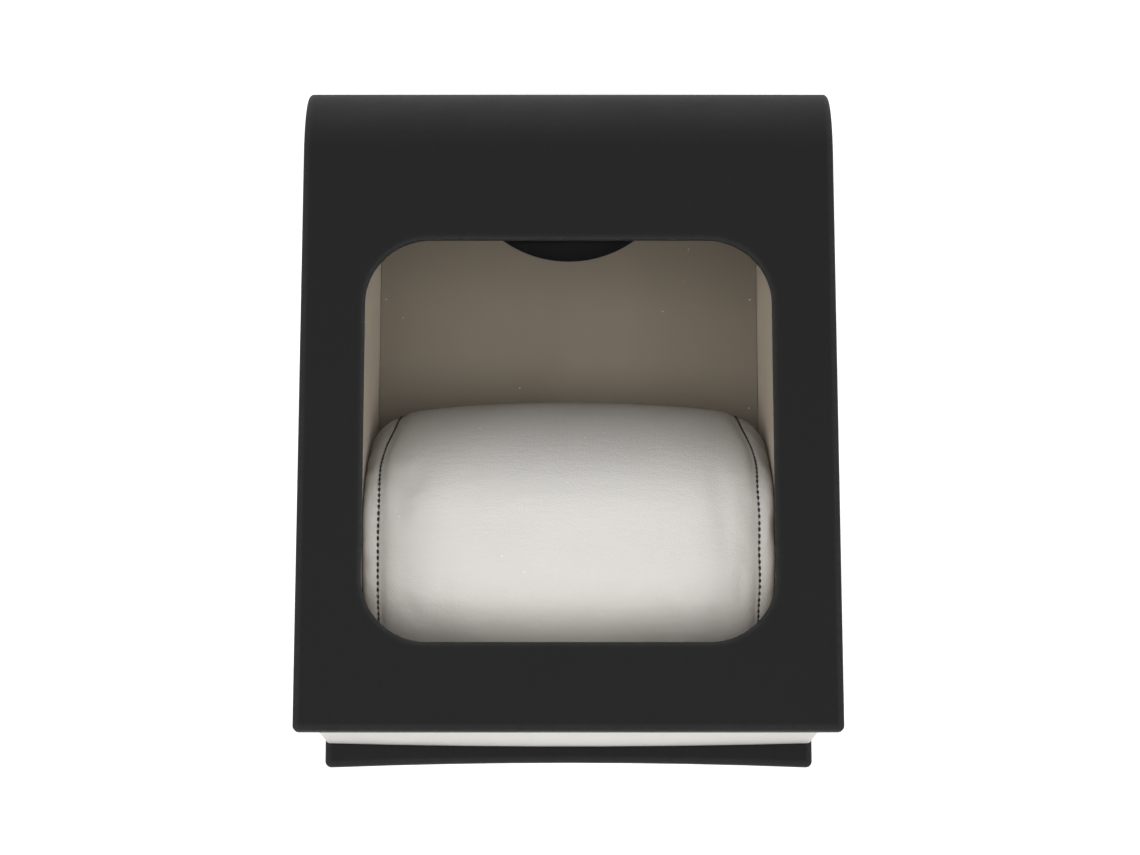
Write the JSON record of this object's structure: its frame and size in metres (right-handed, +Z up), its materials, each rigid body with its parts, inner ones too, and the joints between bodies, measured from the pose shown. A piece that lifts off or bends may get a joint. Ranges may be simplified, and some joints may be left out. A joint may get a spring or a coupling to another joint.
{
  "type": "watch display case",
  "caption": "Book-style watch display case with a hinged window lid, a cream tray, a loose floor panel and a lift-out watch cushion.",
  "frame": {"origin": "on the table under the middle of the closed case lying on its back", "axes": "+X to the right across the case, +Y from the free end to the spine, +Z up out of the window"},
  "size_m": [0.1014, 0.127, 0.0765],
  "materials": {
    "cover_black": "matte soft-touch black leatherette, very fine grain",
    "tray_cream": "cream leatherette, fine grain",
    "lining_cream": "cream velvet-like cloth",
    "lining_black": "black velvet-like cloth",
    "felt_black": "black felt",
    "board_grey": "pressed grey board",
    "wood_board": "fine fibreboard",
    "cushion_cream": "soft cream leatherette with fine creases",
    "cushion_foam": "soft foam",
    "window_clear": "clear acrylic sheet",
    "adhesive_ring": "thin adhesive foam",
    "hinge_metal": "satin black lacquer",
    "magnet_metal": "bright nickel plate"
  },
  "bodies": {
    "base": {"base_board": "board_grey", "base_cover": "cover_black", "base_felt": "felt_black", "tray_floor": "wood_board", "tray_wall_left": "wood_board", "tray_wall_right": "wood_board", "tray_wall_front": "wood_board", "tray_wall_rear": "wood_board", "tray_cover": "tray_cream", "tray_lining": "lining_cream", "pocket_liner": "lining_black", "tray_magnets": "magnet_metal", "panel_ledge_left": "wood_board", "panel_ledge_right": "wood_board", "hinge_leaf_base": "hinge_metal", "hinge_rivets_base": "hinge_metal", "hinge_pin": "hinge_metal"},
    "lid": {"lid_board": "board_grey", "lid_cover": "cover_black", "lid_lining": "lining_cream", "lid_magnets": "magnet_metal", "window_pane": "window_clear", "pane_ring": "adhesive_ring", "hinge_leaf_lid": "hinge_metal", "hinge_rivets_lid": "hinge_metal"},
    "floor_panel": {"floor_panel_board": "board_grey", "floor_panel_cover": "lining_cream"},
    "cushion": {"cushion_foam": "cushion_foam", "cushion_centre_panel": "cushion_cream", "cushion_end_left": "cushion_cream", "cushion_end_right": "cushion_cream"}
  },
  "joints": [
    {"name": "lid_hinge", "type": "hinge", "parent": "base", "child": "lid", "pos_m": [0, 0.0617, 0.0021], "axis": [-1, 0, 0], "range_deg": [0, 90]},
    {"name": "floor_panel_lift", "type": "slide", "parent": "base", "child": "floor_panel", "axis": [0, 0, 1], "range_m": [0, 0.004]},
    {"name": "cushion_lift", "type": "slide", "parent": "floor_panel", "child": "cushion", "axis": [0, 0, 1], "range_m": [0, 0.009]}
  ]
}
